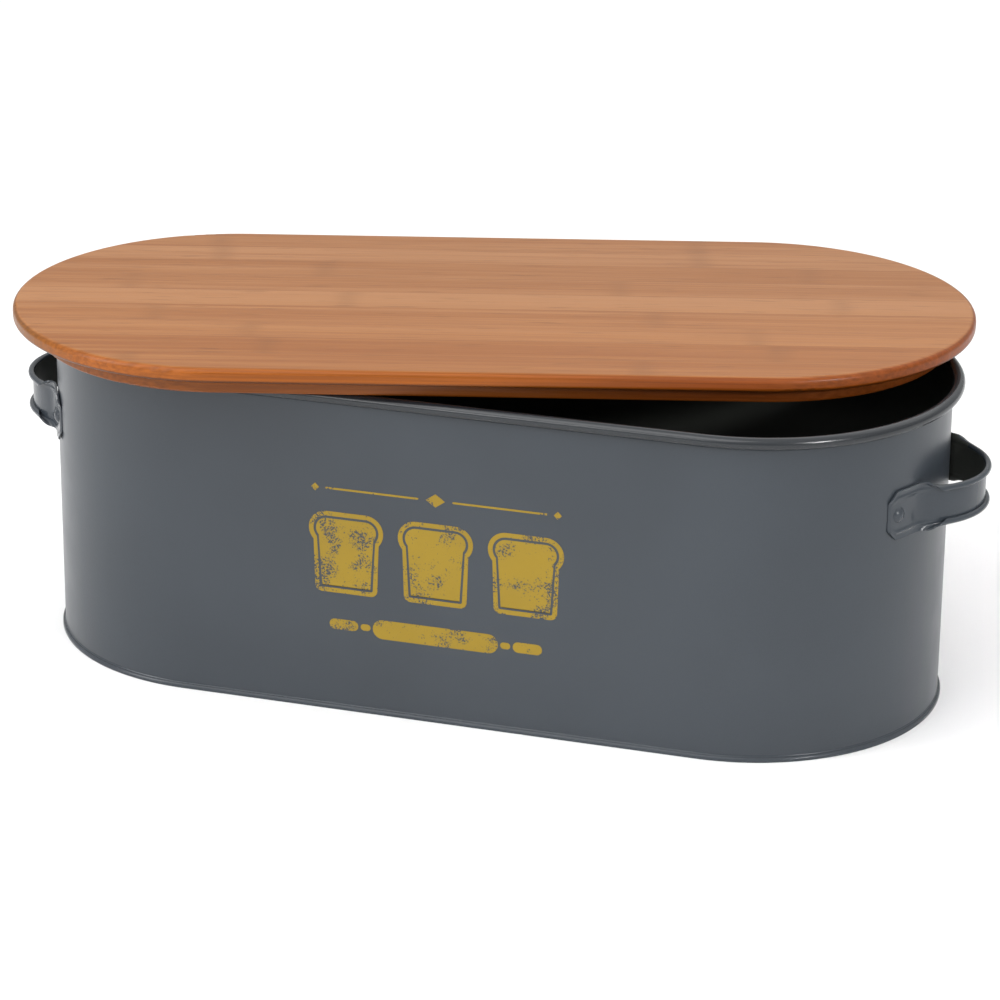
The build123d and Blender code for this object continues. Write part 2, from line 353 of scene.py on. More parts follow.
class Finish:
    """A new material with short calls for the nodes that the finishes share."""

    def __init__(self, name):
        self.material = bpy.data.materials.new(name)
        self.material.use_nodes = True
        self.tree = self.material.node_tree
        self.tree.nodes.clear()
        coordinates = self.tree.nodes.new("ShaderNodeTexCoord")
        self.place = coordinates.outputs["Object"]
        self.facing = coordinates.outputs["Normal"]

    def add(self, kind, inputs, **options):
        """A node with its options set and its inputs set or linked."""
        made = self.tree.nodes.new(kind)
        for key, value in options.items():
            setattr(made, key, value)
        for key, value in inputs.items():
            if isinstance(value, bpy.types.NodeSocket):
                self.tree.links.new(value, made.inputs[key])
            else:
                made.inputs[key].default_value = value
        return made

    def maths(self, operation, first, second=0.0, third=0.0):
        """One step of arithmetic."""
        inputs = {0: first, 1: second, 2: third}
        return self.add("ShaderNodeMath", inputs, operation=operation).outputs[0]

    def split(self, vector):
        """The three parts of a vector."""
        return self.add("ShaderNodeSeparateXYZ", {0: vector}).outputs[:]

    def join(self, x, y, z):
        """A vector of three parts."""
        return self.add("ShaderNodeCombineXYZ", {0: x, 1: y, 2: z}).outputs[0]

    def noise(self, vector, scale, detail=2.0, roughness=0.5):
        """A smooth noise from 0 to 1."""
        inputs = {"Vector": vector, "Scale": scale, "Detail": detail, "Roughness": roughness}
        return self.add("ShaderNodeTexNoise", inputs).outputs[0]

    def spread(self, value, low, high, to_low=0.0, to_high=1.0):
        """A value between two limits, spread smoothly over two others."""
        inputs = {"Value": value, "From Min": low, "From Max": high, "To Min": to_low, "To Max": to_high}
        return self.add("ShaderNodeMapRange", inputs, interpolation_type="SMOOTHSTEP").outputs[0]

    def vary(self, noise, middle, change):
        """A noise, spread to both sides of a middle value."""
        return self.spread(noise, NOISE_LOW, NOISE_HIGH, middle - change, middle + change)

    def off_middle(self, value):
        """How far a value is from the middle between two whole numbers."""
        return self.maths("ABSOLUTE", self.maths("SUBTRACT", self.maths("FRACT", value), 0.5))

    def mix(self, factor, first, second, blend="MIX"):
        """A mix of two colours, each a socket or three numbers."""
        inputs = {MIX_FACTOR: factor}
        for key, side in ((MIX_FIRST, first), (MIX_SECOND, second)):
            inputs[key] = side if isinstance(side, bpy.types.NodeSocket) else (*side, 1.0)
        mixed = self.add("ShaderNodeMix", inputs, data_type="RGBA", blend_type=blend)
        return mixed.outputs[MIX_RESULT]

    def bump(self, height, distance, normal=None):
        """Bumps of a height, over the bumps of another normal."""
        inputs = {"Height": height, "Distance": distance}
        if normal:
            inputs["Normal"] = normal
        return self.add("ShaderNodeBump", inputs).outputs[0]

    def surface(self, base, roughness, mirror, normal=None):
        """The finished material."""
        inputs = {"Base Color": base, "Roughness": roughness, "Specular IOR Level": mirror}
        if normal:
            inputs["Normal"] = normal
        shader = self.add("ShaderNodeBsdfPrincipled", inputs)
        self.add("ShaderNodeOutputMaterial", {"Surface": shader.outputs[0]})
        return self.material


def tinted(plain, tone):
    """A colour times a tone."""
    return [tone * part for part in plain]


def coat_bumps(finish, steel):
    """Orange peel of the coat over slow ripples of the sheet."""
    ripple = finish.noise(finish.place, 1 / steel.ripple_size, detail=0.0)
    peel = finish.noise(finish.place, 1 / steel.peel_size, detail=0.0)
    return finish.bump(peel, steel.peel_depth, finish.bump(ripple, steel.ripple_depth))


def satin_coat(name, steel, gloss, mirror, body=1.0):
    """Grey satin powder coat, with its roughness, its reflection and the share of its grey that shows."""
    finish = Finish(name)
    cloud = finish.noise(finish.place, COAT_CLOUDS, detail=3.0)
    fleck = finish.noise(finish.place, COAT_FLECKS, detail=1.0)
    mottle = finish.maths(
        "ADD",
        finish.maths("MULTIPLY", cloud, CLOUD_SHARE),
        finish.maths("MULTIPLY", fleck, 1.0 - CLOUD_SHARE),
    )
    darker, lighter = (tinted(steel.grey, body * tone) for tone in COAT_TONES)
    grey = finish.mix(finish.spread(mottle, *MOTTLE_STRETCH), darker, lighter)
    sheen = finish.noise(finish.place, COAT_SHEEN)
    roughness = finish.vary(sheen, gloss, steel.gloss_change)
    return finish.surface(grey, roughness, mirror, coat_bumps(finish, steel))


def painted_shade_black(name, steel):
    """Painted shade: a black as dark as the deep shade inside the bin and behind the straps."""
    finish = Finish(name)
    cloud = finish.noise(finish.place, SHADE_BLACK_CLOUDS, detail=3.0)
    black = finish.mix(cloud, *(tinted(steel.black, tone) for tone in SHADE_BLACK_TONES))
    roughness = finish.vary(cloud, steel.black_roughness, steel.black_change)
    return finish.surface(black, roughness, steel.black_mirror, coat_bumps(finish, steel))


def worn_gold(name, design, steel):
    """Gold ink, rubbed off in speckles that show the coat."""
    finish = Finish(name)
    patch = finish.spread(finish.noise(finish.place, WORN_PATCHES, detail=3.0), *PATCH_STRETCH)
    speckle = finish.noise(finish.place, WORN_SPECKLES, detail=3.0, roughness=0.7)
    limit = finish.spread(patch, 0.0, 1.0, design.least_wear, design.most_wear)
    bare = finish.maths("LESS_THAN", speckle, limit)
    cloud = finish.noise(finish.place, INK_CLOUDS, detail=3.0)
    gold = finish.mix(cloud, *(tinted(design.gold, tone) for tone in INK_TONES))
    ink = finish.mix(bare, gold, steel.grey)
    roughness = finish.vary(cloud, design.roughness, design.roughness_change)
    return finish.surface(ink, roughness, design.mirror, coat_bumps(finish, steel))


def strip_wave(finish, strip, step, start):
    """A wave over the strips' numbers, so that each strip has a value of its own."""
    return finish.maths("SINE", finish.maths("MULTIPLY_ADD", strip, step, start))


def bamboo(name, wood, width, count, edge_tone, under_shade_tone):
    """Oiled bamboo strips, side by side along the lid, with fibres, knuckles and glue lines."""
    finish = Finish(name)
    inputs = {
        "Vector": finish.place,
        "Location": (wood.shift_x, wood.shift_y, 0.0),
        "Rotation": (0.0, 0.0, wood.turn),
    }
    place = finish.add("ShaderNodeMapping", inputs, vector_type="TEXTURE").outputs[0]
    along, across, up = finish.split(place)
    strip_width = width / count
    row = finish.maths("DIVIDE", finish.maths("ADD", across, width / 2), strip_width)
    strip = finish.maths("FLOOR", row)

    # Each strip has its own tone and its own stretch of fibres
    moved = finish.maths("MULTIPLY_ADD", strip, wood.fibre_offset, along)
    drawn_out = finish.maths("MULTIPLY", moved, wood.fibre_width / wood.fibre_length)
    fibre_place = finish.join(drawn_out, across, up)
    fine = finish.noise(fibre_place, 1 / wood.fibre_width, detail=4.0, roughness=0.65)
    broad = finish.noise(fibre_place, 1 / (STREAK_FIBRES * wood.fibre_width), detail=3.0)
    streaks = finish.maths(
        "ADD",
        finish.vary(broad, 0.0, wood.streak_contrast),
        finish.vary(fine, 0.0, wood.fibre_contrast),
    )
    waves = finish.maths("ADD", *(strip_wave(finish, strip, *wave) for wave in TONE_WAVES))
    tone = finish.maths("MULTIPLY_ADD", waves, wood.strip_contrast, wood.strip_tone)
    shade = finish.spread(finish.maths("ADD", tone, streaks), 0.0, 1.0)
    grain = finish.mix(shade, wood.brown, wood.pale)

    # The strips at the front are warmer, so that those behind look paler as a painted sheen, and short dark
    # fibres lie in all of them
    front = finish.spread(row, 1.0, wood.sheenless_share * count, 1.0, 0.0)
    grain = finish.mix(front, grain, wood.front_sheenless, "MULTIPLY")
    dark = tinted(wood.brown, wood.dark_tone)
    drawn_out = finish.maths("MULTIPLY", moved, wood.fibre_width / wood.dash_length)
    dashes = finish.noise(finish.join(drawn_out, across, up), 1 / wood.fibre_width, detail=1.0)
    grain = finish.mix(finish.spread(dashes, *DASH_STRETCH, 0.0, wood.dash_strength), grain, dark)

    # Knuckles: a soft shade with a thin dark line across each strip
    start = strip_wave(finish, strip, *KNUCKLE_WAVE)
    staggered = finish.maths("MULTIPLY_ADD", start, wood.knuckle_stagger, along)
    ragged = finish.maths("MULTIPLY_ADD", fine, wood.knuckle_ragged, staggered)
    turn = finish.off_middle(finish.maths("DIVIDE", ragged, wood.knuckle_spacing))
    off = finish.maths("MULTIPLY", turn, wood.knuckle_spacing)
    smudge = finish.spread(off, 0.0, wood.knuckle_width, wood.knuckle_shade, 0.0)
    smudge = finish.maths("MULTIPLY", smudge, broad)
    line = finish.spread(off, 0.0, wood.knuckle_line, wood.knuckle_mark, 0.0)
    grain = finish.mix(finish.maths("MAXIMUM", smudge, line), grain, dark)

    # Glue lines between the strips
    side = finish.maths("SUBTRACT", 0.5, finish.off_middle(row))
    joint = finish.spread(side, 0.0, wood.glue_width / strip_width, wood.glue_strength, 0.0)
    grain = finish.mix(joint, grain, wood.glue)

    # The deeper colour of the cut edges, and the painted shade of the faces that look down
    edge = finish.mix(finish.vary(fine, 0.5, 0.5), *(tinted(wood.edge, edge_tone * t) for t in EDGE_TONES))
    # Painted shade: darker towards the right end
    edge = finish.mix(finish.spread(along, wood.right_end_shade_from, wood.right_end_shade_to), edge, wood.right_end_shade, "MULTIPLY")
    left_end = finish.spread(along, wood.dull_to, wood.dull_from, 1.0, 0.0)
    edge = finish.mix(left_end, edge, wood.dull, "MULTIPLY")
    lean = finish.split(finish.facing)[2]
    grain = finish.mix(finish.spread(lean, *CUT_LEAN, wood.edge_strength, 0.0), grain, edge)
    # Painted shade on the faces that look down
    under_shade = finish.spread(lean, *UNDER_SHADE_LEAN, wood.under_shade_strength, 0.0)
    grain = finish.mix(under_shade, grain, tinted(wood.edge, under_shade_tone))

    roughness = finish.spread(fine, FIBRE_LOW, FIBRE_HIGH, wood.roughness_low, wood.roughness_high)
    return finish.surface(grain, roughness, wood.mirror, finish.bump(fine, wood.fibre_depth))


# Shapes


def put(name, data):
    """A new object in the scene."""
    made = bpy.data.objects.new(name, data)
    bpy.context.scene.collection.objects.link(made)
    return made


def new_piece(name, points, faces, materials, slots):
    """A smooth mesh piece with sharp folds, in the bin's own frame."""
    mesh = bpy.data.meshes.new(name)
    mesh.from_pydata(points, [], faces)
    shape = bmesh.new()
    shape.from_mesh(mesh)
    for face, slot in zip(shape.faces, slots):
        face.material_index = slot
    bmesh.ops.recalc_face_normals(shape, faces=shape.faces[:])
    shape.to_mesh(mesh)
    shape.free()
    mesh.shade_smooth()
    mesh.set_sharp_from_angle(angle=SHARP_ANGLE)
    for material in materials:
        mesh.materials.append(material)
    return put(name, mesh)


def run_round(profile, steel):
    """Points of a profile (radius, height), run round both ends, and their numbers ring by ring."""
    reach = (steel.bin_length - steel.bin_width) / 2
    points, rings = [], []
    for end in (1, -1):
        for step in range(END_STEPS + 1):
            bearing = math.pi * (step / END_STEPS - end / 2)
            rings.append(range(len(points), len(points) + len(profile)))
            for radius, height in profile:
                x, y = radius * math.cos(bearing), radius * math.sin(bearing)
                points.append((end * reach + x, y, height))
    return points, rings


def ring_faces(rings, stretches):
    """The faces between neighbouring rings, each with the number of its stretch of the profile."""
    for first, second in zip(rings, rings[1:] + rings[:1]):
        for spot in range(stretches):
            following = (spot + 1) % len(first)
            yield (first[spot], first[following], second[following], second[spot]), spot


def wall_profile(steel):
    """The wall's cut across: places (radius, height) round the sheet, and each stretch's material."""
    radius = steel.bin_width / 2
    curl = steel.curl_diameter / 2
    centre = (radius + curl - steel.sheet, steel.rim_height - curl)
    turns = [math.pi - steel.curl_turn * step / CURL_STEPS for step in range(CURL_STEPS + 1)]
    outer = [(centre[0] + curl * math.cos(t), centre[1] + curl * math.sin(t)) for t in turns]
    hollow = curl - steel.sheet
    inner = [(centre[0] + hollow * math.cos(t), centre[1] + hollow * math.sin(t)) for t in turns]
    foot = [
        (radius, steel.hem_high),
        (radius + steel.hem_reach, steel.hem_high),
        (radius + steel.hem_reach, steel.hem_low),
    ]
    profile = [(radius - steel.sheet, steel.hem_low)] + outer + inner[::-1] + foot
    # The inside and the rim's inner side take the painted shade black, then the rim's coat, then the grey
    black_to = sum(1 for turn in turns if turn > math.pi - steel.rim_shade_black)
    rim_to = 1 + len(outer) + len(inner) // 2
    coats = [SHADE_BLACK] * black_to + [RIM_COAT] * (rim_to - black_to) + [COAT] * (len(profile) - rim_to)
    return profile, coats


def wall_piece(name, steel, materials):
    """The bent sheet: its profile run round the ends and along the sides, and the lap down the back."""
    profile, coats = wall_profile(steel)
    points, rings = run_round(profile, steel)
    faces, slots = [], []
    for face, spot in ring_faces(rings, len(profile)):
        faces.append(face)
        slots.append(coats[spot])
    back = steel.bin_width / 2
    half, slope = steel.lap_width / 2, steel.sheet / 2
    section = [(-half, 0.0), (-half, slope), (slope - half, steel.sheet)]
    section += [(-x, y) for x, y in reversed(section)]
    start = len(points)
    for height in (steel.lap_low, steel.lap_high):
        points += [(x, back + y, height) for x, y in section]
    size = len(section)
    for spot in range(size):
        following = (spot + 1) % size
        faces.append((start + spot, start + following, start + size + following, start + size + spot))
    faces.append(tuple(range(start, start + size)))
    faces.append(tuple(range(start + size, start + 2 * size)))
    slots += [COAT] * (size + 2)
    return new_piece(name, points, faces, materials, slots)


def base_profile(steel):
    """The base's cut across, from the floor's edge round the wall's foot to the floor's underside."""
    outside = steel.bin_width / 2
    skirt = outside - steel.sheet - steel.seam_clearance
    foot = outside + steel.hem_reach + steel.seam_clearance
    under_fold = steel.seam_height - steel.sheet
    side = outside + steel.seam_reach
    foot_round, hollow = steel.seam_foot_round, steel.seam_hollow
    slope = math.degrees(steel.seam_slope)
    top_round = steel.seam_reach / (1 - math.cos(steel.seam_slope)) - hollow
    top = steel.seam_height + steel.sheet / 2
    shoulder = top - (hollow + top_round) * math.sin(steel.seam_slope)
    profile = [
        (skirt, steel.floor_height + steel.sheet),
        (skirt, steel.sheet),
        (foot, steel.sheet),
        (foot, under_fold),
        (outside, under_fold),
    ]
    profile += arc((outside + hollow, top), hollow, 180, 180 + slope)
    profile += arc((side - top_round, shoulder), top_round, slope, 0)
    profile += arc((side - foot_round, foot_round), foot_round, 0, -90, CORNER_STEPS)
    return profile + [(skirt - steel.sheet, 0.0), (skirt - steel.sheet, steel.floor_height)]


def base_piece(name, steel, materials):
    """The base: its fold round the wall's foot, its upright rim and its raised floor."""
    profile = base_profile(steel)
    points, rings = run_round(profile, steel)
    faces = [face for face, _ in ring_faces(rings, len(profile) - 1)]
    # The floor's top inside the bin takes the painted shade black
    slots = [COAT] * len(faces) + [SHADE_BLACK, COAT]
    faces.append(tuple(ring[0] for ring in rings))
    faces.append(tuple(ring[-1] for ring in rings))
    return new_piece(name, points, faces, materials, slots)


def strap_stations(handle, steel):
    """Half the right handle's middle line, from the grip to the tab's end.

    Each station is a place on the plan, the bearing that the strap's outward side faces, how far
    the edges are rolled, and how much of the height and of the thickness is left at the tab's end.
    """
    end_radius = steel.bin_width / 2
    end_centre = steel.bin_length / 2 - end_radius
    tab_radius = end_radius + handle.clearance + handle.strap_thickness / 2
    bow_centre = end_radius + handle.bow_reach - handle.bow_radius
    from_end = tab_radius + handle.bend_radius
    from_bow = handle.bow_radius + handle.bend_radius
    bend_x = (from_end**2 - from_bow**2 + bow_centre**2) / (2 * bow_centre)
    bend_y = math.sqrt(from_end**2 - bend_x**2)
    leave = math.atan2(bend_y, bend_x)
    join = math.atan2(bend_y, bend_x - bow_centre)
    tab_length = handle.rivet_from_bend + handle.end_from_rivet
    end_left = handle.end_thickness
    stations = []

    def on_circle(x, y, radius, bearing):
        """A place on a circle, from the middle of the bin's round end."""
        return Vector((end_centre + x + radius * math.cos(bearing), y + radius * math.sin(bearing)))

    def rolled(from_wall):
        """How far the edges are rolled at a distance along the strap from the wall."""
        part = min(1.0, max(0.0, (from_wall - handle.lip_start) / handle.lip_run))
        return handle.flat_roll + (1.0 - handle.flat_roll) * part * part * (3 - 2 * part)

    bend_length = handle.bend_radius * (join - leave)
    for step in range(BOW_STEPS):
        bearing = join * step / BOW_STEPS
        from_wall = bend_length + handle.bow_radius * (join - bearing)
        place = on_circle(bow_centre, 0.0, handle.bow_radius, bearing)
        stations.append((place, bearing, rolled(from_wall), 1.0, 1.0))
    for step in range(BEND_STEPS):
        bearing = join + (leave - join) * step / BEND_STEPS
        from_wall = bend_length * (1 - step / BEND_STEPS)
        place = on_circle(bend_x, bend_y, -handle.bend_radius, bearing)
        stations.append((place, bearing, rolled(from_wall), 1.0, 1.0))
    for step in range(TAB_STEPS + 1):
        along = tab_length * step / TAB_STEPS
        bearing = leave + along / tab_radius
        clipped = min(1.0, 1.0 - 2 * (handle.tab_corner - (tab_length - along)) / handle.tab_height)
        thinned = min(1.0, end_left + (1.0 - end_left) * (tab_length - along) / handle.tab_taper)
        place = on_circle(0.0, 0.0, tab_radius, bearing)
        stations.append((place, bearing, handle.flat_roll, clipped, thinned))
    return stations


def strap_section(handle, rolled, height_left, thickness_left):
    """The strap's cut across: pairs of (out, up) on the wall's side and on the outward side."""
    web = handle.strap_height / 2 - handle.roll_radius - handle.strap_thickness / 2
    flat_edge = handle.tab_height / 2 - web
    edge = flat_edge + rolled * (handle.roll_turn * handle.roll_radius - flat_edge)
    turn = max(handle.roll_turn * rolled, LEAST_TURN)
    radius = edge / turn
    half = handle.strap_thickness / 2
    line = [(0.0, web * step / WEB_STEPS, 0.0) for step in range(WEB_STEPS)]
    for step in range(ROLL_STEPS + 1):
        bent = turn * step / ROLL_STEPS
        line.append((radius - radius * math.cos(bent), web + radius * math.sin(bent), bent))
    pairs = []
    outward = 2 * thickness_left - 1
    for side, points in ((-1, line[:0:-1]), (1, line)):
        for out, up, bent in points:
            # The crease of the flattened edge fades out at the clipped corners
            off_ridge = (up - web) / handle.ridge_width
            ridge = handle.ridge_height * math.exp(-off_ridge * off_ridge)
            out += (1.0 - rolled) * height_left**4 * ridge
            across = (half * math.cos(bent), -half * math.sin(bent))
            inner = (out - across[0], side * height_left * (up - across[1]))
            outer = (out + outward * across[0], side * height_left * (up + outward * across[1]))
            pairs.append((inner, outer))
    return pairs


def handle_piece(name, handle, steel, turn, materials):
    """One strap handle: its section run along its middle line, closed at both tabs."""
    half_line = strap_stations(handle, steel)
    mirrored = [
        (Vector((place.x, -place.y)), -bearing, *rest) for place, bearing, *rest in half_line[:0:-1]
    ]
    spin = Matrix.Rotation(turn, 3, "Z")
    points, loops = [], []
    stations = mirrored + half_line
    for place, bearing, *rest in stations:
        pairs = strap_section(handle, *rest)
        outward = Vector((math.cos(bearing), math.sin(bearing), 0.0))
        ring = []
        for out, up in [inner for inner, _ in pairs] + [outer for _, outer in reversed(pairs)]:
            spot = Vector((place.x, place.y, handle.middle_height + up)) + outward * out
            ring.append(len(points))
            points.append(spin @ spot)
        loops.append(ring)
    count = len(loops[0])
    edge = count // 2 - 1
    faces, slots = [], []
    for first, second, (_, _, rolled, _, _) in zip(loops, loops[1:], stations):
        # Painted shade: black on the strap's wall side, running up the edges where they begin to roll
        shade_black_steps = WEB_STEPS
        if rolled <= handle.shade_black_limit:
            shade_black_steps += ROLL_STEPS * min(1.0, handle.shade_black_turn / (handle.roll_turn * rolled))
        for spot in range(count):
            following = (spot + 1) % count
            faces.append((first[spot], first[following], second[following], second[spot]))
            slots.append(SHADE_BLACK if abs(spot + 0.5 - edge / 2) < shade_black_steps else COAT)
    for ring in (loops[0], loops[-1]):
        for spot in range(edge):
            faces.append((ring[spot], ring[spot + 1], ring[count - 2 - spot], ring[count - 1 - spot]))
            slots.append(COAT)
    return new_piece(name, points, faces, materials, slots)


def arc(centre, radius, start, stop, steps=ARC_STEPS):
    """Points on a round stretch, with bearings in degrees."""
    bearings = [math.radians(start + (stop - start) * step / steps) for step in range(steps + 1)]
    return [(centre[0] + radius * math.cos(b), centre[1] + radius * math.sin(b)) for b in bearings]


def slice_outline(design, width, inset):
    """A slice of tin bread, foot at zero: rounded foot corners and a crown with two lobes."""
    lobe = design.slice_lobe * width
    side = design.slice_side * width
    foot = design.slice_corner * width
    crown = design.slice_height - lobe
    apart = width / 2 - lobe
    outline = arc((foot - side, foot), foot - inset, 180, 270, CORNER_STEPS)
    outline += arc((side - foot, foot), foot - inset, 270, 360, CORNER_STEPS)
    outline += arc((apart, crown), lobe - inset, -LOBE_TURN, 90, LOBE_STEPS)
    outline += arc((-apart, crown), lobe - inset, 90, 180 + LOBE_TURN, LOBE_STEPS)
    return outline


def bar_outline(width, height):
    """A bar with round ends, about its own middle."""
    reach = (width - height) / 2
    return arc((reach, 0.0), height / 2, -90, 90) + arc((-reach, 0.0), height / 2, 90, 270)


def diamond_outline(width, height):
    """A lozenge about its own middle."""
    return [(width / 2, 0.0), (0.0, height / 2), (-width / 2, 0.0), (0.0, -height / 2)]


class Stencil:
    """Flat shapes of ink on the front of the wall, as thin closed slabs."""

    def __init__(self, front, ink):
        self.shape = bmesh.new()
        self.depths = (front + ink, front - ink)

    def loops(self, outline, x, z):
        """The points of an outline, on the back and on the face of the ink."""
        return [[self.shape.verts.new((x + px, y, z + pz)) for px, pz in outline] for y in self.depths]

    def sides(self, first, second):
        """The band of faces between two loops of points."""
        for spot, vert in enumerate(first):
            self.shape.faces.new((first[spot - 1], vert, second[spot], second[spot - 1]))

    def fill(self, outline, x, z):
        """A solid shape."""
        back, face = self.loops(outline, x, z)
        self.shape.faces.new(back)
        self.shape.faces.new(face)
        self.sides(back, face)

    def ring(self, outer, inner, x, z):
        """The band between two outlines with the same number of points."""
        outside, inside = self.loops(outer, x, z), self.loops(inner, x, z)
        self.sides(*outside)
        self.sides(*inside)
        for first, second in zip(outside, inside):
            self.sides(first, second)

    def piece(self, name, material):
        """All the shapes as one piece."""
        bmesh.ops.recalc_face_normals(self.shape, faces=self.shape.faces[:])
        many_sided = [face for face in self.shape.faces if len(face.verts) > 4]
        bmesh.ops.triangulate(self.shape, faces=many_sided)
        mesh = bpy.data.meshes.new(name)
        self.shape.to_mesh(mesh)
        self.shape.free()
        mesh.materials.append(material)
        return put(name, mesh)


# Operators


def coat_node(name, material):
    """Gives a CAD node one material in place of its own."""
    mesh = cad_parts[name].data
    mesh.materials.clear()
    mesh.materials.append(material)


class BREADBIN_OT_bend_wall(bpy.types.Operator):
    """Make the wall with its rolled rim, grey outside and black inside"""

    bl_idname = "breadbin.bend_wall"
    bl_label = "Bend the wall"

    def execute(self, context):
        steel = context.scene.bread_bin.steel
        materials = [
            satin_coat("wall_coat", steel, steel.gloss, steel.mirror),
            painted_shade_black("wall_shade_black", steel),
            satin_coat("rim_coat", steel, steel.rolled_gloss, steel.rim_mirror, steel.rim_body),
        ]
        piece = wall_piece("wall_sheet", steel, materials)
        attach(piece, "bin")
        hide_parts("bin_wall")
        return {"FINISHED"}


class BREADBIN_OT_fold_base(bpy.types.Operator):
    """Make the base, folded round the wall's foot, with a black floor inside the bin"""

    bl_idname = "breadbin.fold_base"
    bl_label = "Fold the base"

    def execute(self, context):
        steel = context.scene.bread_bin.steel
        materials = [
            satin_coat("base_coat", steel, steel.rolled_gloss, steel.mirror),
            painted_shade_black("base_shade_black", steel),
        ]
        piece = base_piece("base_sheet", steel, materials)
        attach(piece, "bin")
        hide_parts("base_pan")
        return {"FINISHED"}


class BREADBIN_OT_roll_handles(bpy.types.Operator):
    """Make both strap handles, with rolled edges that open out into flat tabs"""

    bl_idname = "breadbin.roll_handles"
    bl_label = "Roll the handles"

    def execute(self, context):
        settings = context.scene.bread_bin
        steel = settings.steel
        materials = [
            satin_coat("handle_coat", steel, steel.rolled_gloss, steel.mirror),
            painted_shade_black("handle_shade_black", steel),
        ]
        for node, turn in (("right_handle", 0.0), ("left_handle", math.pi)):
            piece = handle_piece(f"{node}_strap", settings.handles, steel, turn, materials)
            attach(piece, "bin")
            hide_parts(node)
        return {"FINISHED"}


class BREADBIN_OT_coat_rivets(bpy.types.Operator):
    """Coat the rivets of the handles"""

    bl_idname = "breadbin.coat_rivets"
    bl_label = "Coat the rivets"

    def execute(self, context):
        steel = context.scene.bread_bin.steel
        coat_node("handle_rivets", satin_coat("rivet_coat", steel, steel.rolled_gloss, steel.mirror))
        return {"FINISHED"}


class BREADBIN_OT_print_front(bpy.types.Operator):
    """Print three slices of bread, a rule and a rolling pin on the front"""

    bl_idname = "breadbin.print_front"
    bl_label = "Print the front"

    def execute(self, context):
        settings = context.scene.bread_bin
        design = settings.front_print
        stencil = Stencil(-settings.steel.bin_width / 2, design.ink)
        foot = design.middle_height - design.slice_height / 2
        self.print_slices(stencil, design, foot)
        self.print_rule(stencil, design, foot + design.slice_height + design.rule_rise)
        self.print_pin(stencil, design, foot - design.pin_drop)
        piece = stencil.piece("front_print", worn_gold("print_gold", design, settings.steel))
        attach(piece, "bin")
        return {"FINISHED"}

    def print_slices(self, stencil, design, foot):
        """Three slices side by side, each a crumb in its crust."""
        width = (design.width - 2 * design.slice_gap) / 3
        insets = (0.0, design.crust, design.crust + design.crust_gap)
        for place in (-1, 0, 1):
            x = place * (width + design.slice_gap)
            outside, inside, crumb = (slice_outline(design, width, inset) for inset in insets)
            stencil.ring(outside, inside, x, foot)
            stencil.fill(crumb, x, foot)

    def print_rule(self, stencil, design, height):
        """A rule in two halves, with a lozenge between them and one at each end."""
        half = bar_outline(design.rule_length, design.rule_width)
        end = diamond_outline(design.end_lozenge, design.end_lozenge)
        for side in (-1, 1):
            stencil.fill(half, side * design.rule_place, height)
            stencil.fill(end, side * design.end_place, height)
        stencil.fill(diamond_outline(design.lozenge_length, design.lozenge_width), 0.0, height)

    def print_pin(self, stencil, design, height):
        """A rolling pin, with a neck and a grip at each end."""
        neck = bar_outline(design.neck_length, design.neck_width)
        grip = bar_outline(design.grip_length, design.grip_width)
        stencil.fill(bar_outline(design.pin_length, design.pin_width), 0.0, height)
        for side in (-1, 1):
            stencil.fill(neck, side * design.neck_place, height)
            stencil.fill(grip, side * design.grip_place, height)


class BREADBIN_OT_grain_board(bpy.types.Operator):
    """Give the strips of the upper board their bamboo grain"""

    bl_idname = "breadbin.grain_board"
    bl_label = "Grain the upper board"

    def execute(self, context):
        wood = context.scene.bread_bin.bamboo
        material = bamboo("board_bamboo", wood, wood.board_width, len(BOARD_STRIPS), 1.0, wood.board_under_shade)
        for name in BOARD_STRIPS:
            coat_node(name, material)
        return {"FINISHED"}


class BREADBIN_OT_grain_plug(bpy.types.Operator):
    """Give the strips of the lower board their bamboo grain"""

    bl_idname = "breadbin.grain_plug"
    bl_label = "Grain the lower board"

    def execute(self, context):
        wood = context.scene.bread_bin.bamboo
        # Painted shade: the lower board's edges and underside are darker than the upper board's
        tone = wood.plug_shade_tone
        material = bamboo("plug_bamboo", wood, wood.plug_width, len(PLUG_STRIPS), tone, tone)
        for name in PLUG_STRIPS:
            coat_node(name, material)
        return {"FINISHED"}


def soft_light(name, target, power, spread=math.pi):
    """One of the lights, a rectangle that faces a point."""
    place, size = LIGHTS[name]
    light = bpy.data.lights.new(name, "AREA")
    light.shape = "RECTANGLE"
    light.size, light.size_y = size
    light.energy = power
    light.spread = spread
    lamp = put(name, light)
    lamp.location = place
    lamp.rotation_euler = (Vector(target) - Vector(place)).to_track_quat("-Z", "Y").to_euler()


